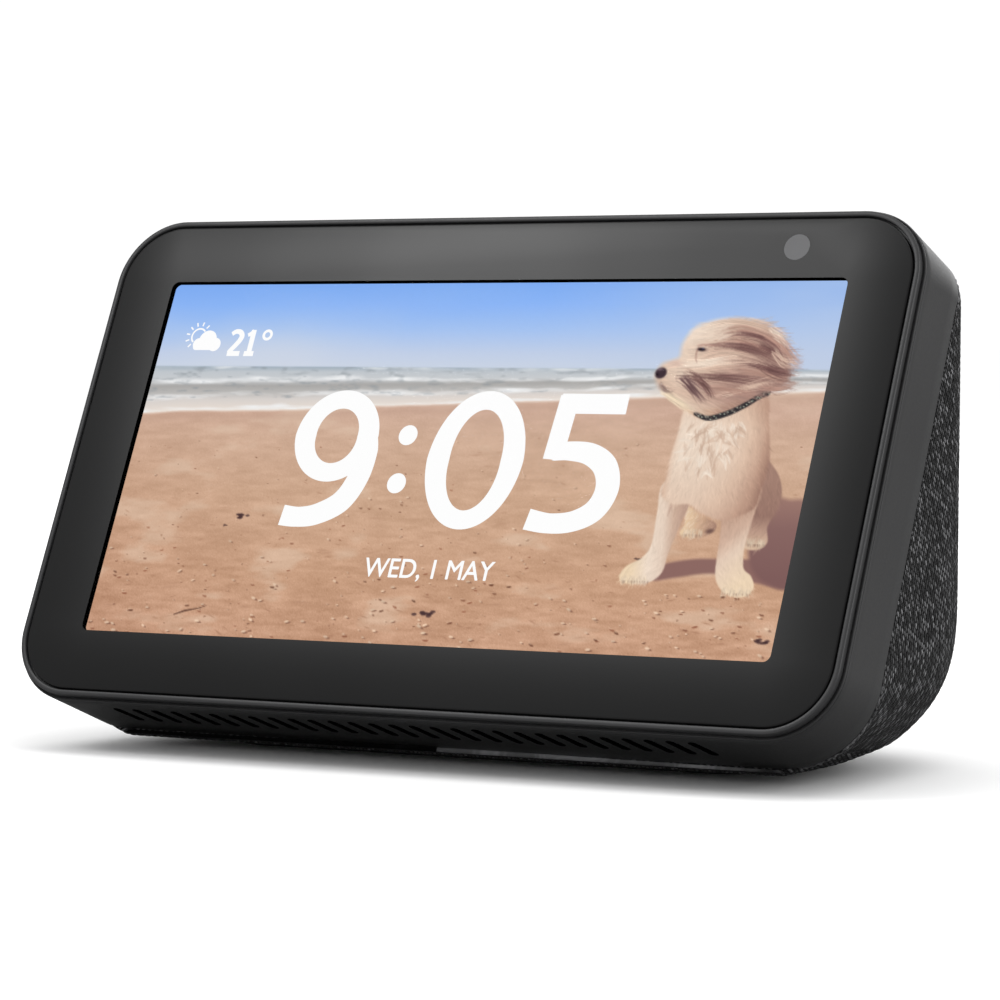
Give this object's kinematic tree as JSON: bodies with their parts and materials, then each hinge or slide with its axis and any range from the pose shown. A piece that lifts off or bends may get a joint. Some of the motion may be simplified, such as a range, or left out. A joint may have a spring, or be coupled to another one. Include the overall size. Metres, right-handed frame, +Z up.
{
  "type": "smart display",
  "caption": "Compact tabletop smart display: leaning touch screen with camera and shutter, top buttons, fabric-covered wedge-shaped back, downward speaker, rear sockets and a rubber foot.",
  "frame": {"origin": "on the table, below the centre of the case's bounding box", "axes": "+X to the viewer's right when facing the screen, +Y to the rear, +Z up"},
  "size_m": [0.148, 0.073, 0.086],
  "materials": {
    "cover_glass": "polished, dark neutral tint",
    "border_film": "printed black",
    "touch_sensor": "clear",
    "lcd_panel": "smooth, shows a lit picture",
    "backlight_unit": "white diffuser",
    "display_tray": "stamped",
    "front_bezel": "fine matte, satin edge",
    "front_housing": "fine matte",
    "slot_mesh": "fine black mesh",
    "chassis_plate": "stamped, satin",
    "chassis_screws": "zinc plated",
    "board_standoffs": "turned",
    "main_board": "green solder mask",
    "board_screws": "zinc plated",
    "processor": "moulded package",
    "thermal_pad": "soft, slightly tacky",
    "main_shield": "tin plated",
    "radio_shield": "tin plated",
    "board_connectors": "ivory",
    "power_coils": "moulded ferrite",
    "display_flex": "amber film",
    "upper_flexes": "amber film",
    "io_flex": "amber film",
    "button_board": "green solder mask",
    "tact_switches": "stamped",
    "mute_button": "fine matte",
    "mute_plunger": "soft",
    "volume_down_button": "fine matte",
    "volume_down_plunger": "soft",
    "volume_up_button": "fine matte",
    "volume_up_plunger": "soft",
    "mic_modules": "gold-plated can",
    "mic_gaskets": "soft",
    "camera_module": "moulded barrel",
    "camera_lens": "coated",
    "camera_board": "green solder mask",
    "shutter_slider": "fine matte",
    "antennas": "plated strip",
    "antenna_cables": "thin coaxial jacket",
    "rear_shell": "moulded",
    "fabric_cover": "heathered charcoal twill knit",
    "foot_pad": "matte silicone",
    "case_screws": "zinc plated",
    "speaker_box": "moulded",
    "speaker_screws": "zinc plated",
    "speaker_gasket": "closed-cell foam",
    "speaker_basket": "black stamped steel",
    "speaker_magnet": "plated cup",
    "speaker_cone": "pressed paper",
    "voice_coil": "enamelled copper winding",
    "speaker_surround": "half-roll",
    "speaker_spider": "corrugated, resin-stiffened",
    "speaker_leads": "insulated wire",
    "io_board": "green solder mask",
    "dc_jack": "moulded",
    "dc_pin": "nickel plated",
    "usb_port": "folded steel shell",
    "usb_tongue": "moulded",
    "audio_jack": "moulded",
    "port_plate": "fine matte"
  },
  "bodies": {
    "case": {"cover_glass": "cover_glass", "border_film": "border_film", "touch_sensor": "touch_sensor", "lcd_panel": "lcd_panel", "backlight_unit": "backlight_unit", "display_tray": "display_tray", "front_bezel": "front_bezel", "front_housing": "front_housing", "slot_mesh": "slot_mesh", "chassis_plate": "chassis_plate", "chassis_screws": "chassis_screws", "board_standoffs": "board_standoffs", "main_board": "main_board", "board_screws": "board_screws", "processor": "processor", "thermal_pad": "thermal_pad", "main_shield": "main_shield", "radio_shield": "radio_shield", "board_connectors": "board_connectors", "power_coils": "power_coils", "display_flex": "display_flex", "upper_flexes": "upper_flexes", "io_flex": "io_flex", "button_board": "button_board", "tact_switches": "tact_switches", "mic_modules": "mic_modules", "mic_gaskets": "mic_gaskets", "camera_module": "camera_module", "camera_lens": "camera_lens", "camera_board": "camera_board", "antennas": "antennas", "antenna_cables": "antenna_cables", "rear_shell": "rear_shell", "fabric_cover": "fabric_cover", "foot_pad": "foot_pad", "case_screws": "case_screws", "speaker_box": "speaker_box", "speaker_screws": "speaker_screws", "speaker_gasket": "speaker_gasket", "speaker_basket": "speaker_basket", "speaker_magnet": "speaker_magnet", "speaker_surround": "speaker_surround", "speaker_spider": "speaker_spider", "speaker_leads": "speaker_leads", "io_board": "io_board", "dc_jack": "dc_jack", "dc_pin": "dc_pin", "usb_port": "usb_port", "usb_tongue": "usb_tongue", "audio_jack": "audio_jack", "port_plate": "port_plate"},
    "shutter": {"shutter_slider": "shutter_slider"},
    "mute": {"mute_button": "mute_button", "mute_plunger": "mute_plunger"},
    "volume_down": {"volume_down_button": "volume_down_button", "volume_down_plunger": "volume_down_plunger"},
    "volume_up": {"volume_up_button": "volume_up_button", "volume_up_plunger": "volume_up_plunger"},
    "cone": {"speaker_cone": "speaker_cone", "voice_coil": "voice_coil"}
  },
  "joints": [
    {"name": "shutter_slide", "type": "slide", "parent": "case", "child": "shutter", "axis": [-1, 0, 0], "range_m": [0, 0.006]},
    {"name": "mute_press", "type": "slide", "parent": "case", "child": "mute", "axis": [0, -0.4226, -0.9063], "range_m": [0, 0.0006], "stiffness_N_per_m": 2000},
    {"name": "volume_down_press", "type": "slide", "parent": "case", "child": "volume_down", "axis": [0, -0.4226, -0.9063], "range_m": [0, 0.0006], "stiffness_N_per_m": 2000},
    {"name": "volume_up_press", "type": "slide", "parent": "case", "child": "volume_up", "axis": [0, -0.4226, -0.9063], "range_m": [0, 0.0006], "stiffness_N_per_m": 2000},
    {"name": "cone_stroke", "type": "slide", "parent": "case", "child": "cone", "axis": [0, 0, 1], "range_m": [-0.0012, 0.0012], "stiffness_N_per_m": 1200, "deforming": ["speaker_surround", "speaker_spider"]}
  ]
}
